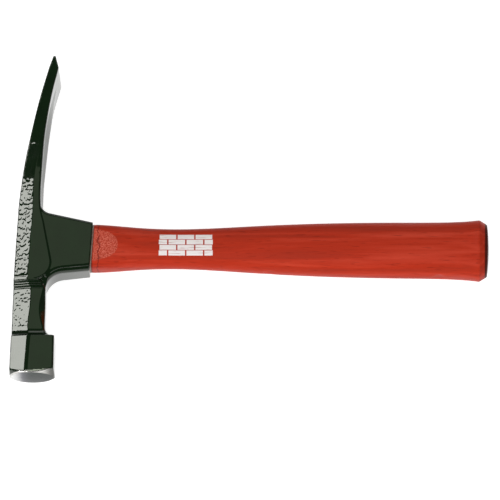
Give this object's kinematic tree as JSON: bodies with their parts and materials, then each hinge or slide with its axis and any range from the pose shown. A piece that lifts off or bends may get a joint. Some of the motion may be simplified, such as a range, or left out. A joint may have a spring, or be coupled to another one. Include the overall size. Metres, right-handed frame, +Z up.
{
  "type": "brick hammer",
  "caption": "Bricklayer's hammer: square hammer poll opposite a long curved chisel blade, forged with a tapered socket that is resin-bonded to a short red wooden handle.",
  "frame": {"origin": "centre of the bounding box in X and Y, at its lowest point in Z; the hammer lies on its side", "axes": "+X runs along the handle from the head to the butt, +Y along the head from the striking face to the chisel edge, +Z up across the head; the symmetry plane is level at Z = 22.2 mm"},
  "size_m": [0.2784, 0.1894, 0.0444],
  "materials": {
    "black_enamel": "gloss black-green enamel over forged steel, striking face bare and polished",
    "red_hickory": "red stained and lacquered, grain along the handle",
    "pale_hardwood": "bare, as sawn",
    "cured_resin": "satin, hard cured"
  },
  "bodies": {
    "root": {"hammer_head": "black_enamel", "handle": "red_hickory", "kerf_wedge": "pale_hardwood", "bond_sleeve": "cured_resin", "mouth_bead": "cured_resin", "crown_seal": "cured_resin"}
  },
  "joints": []
}
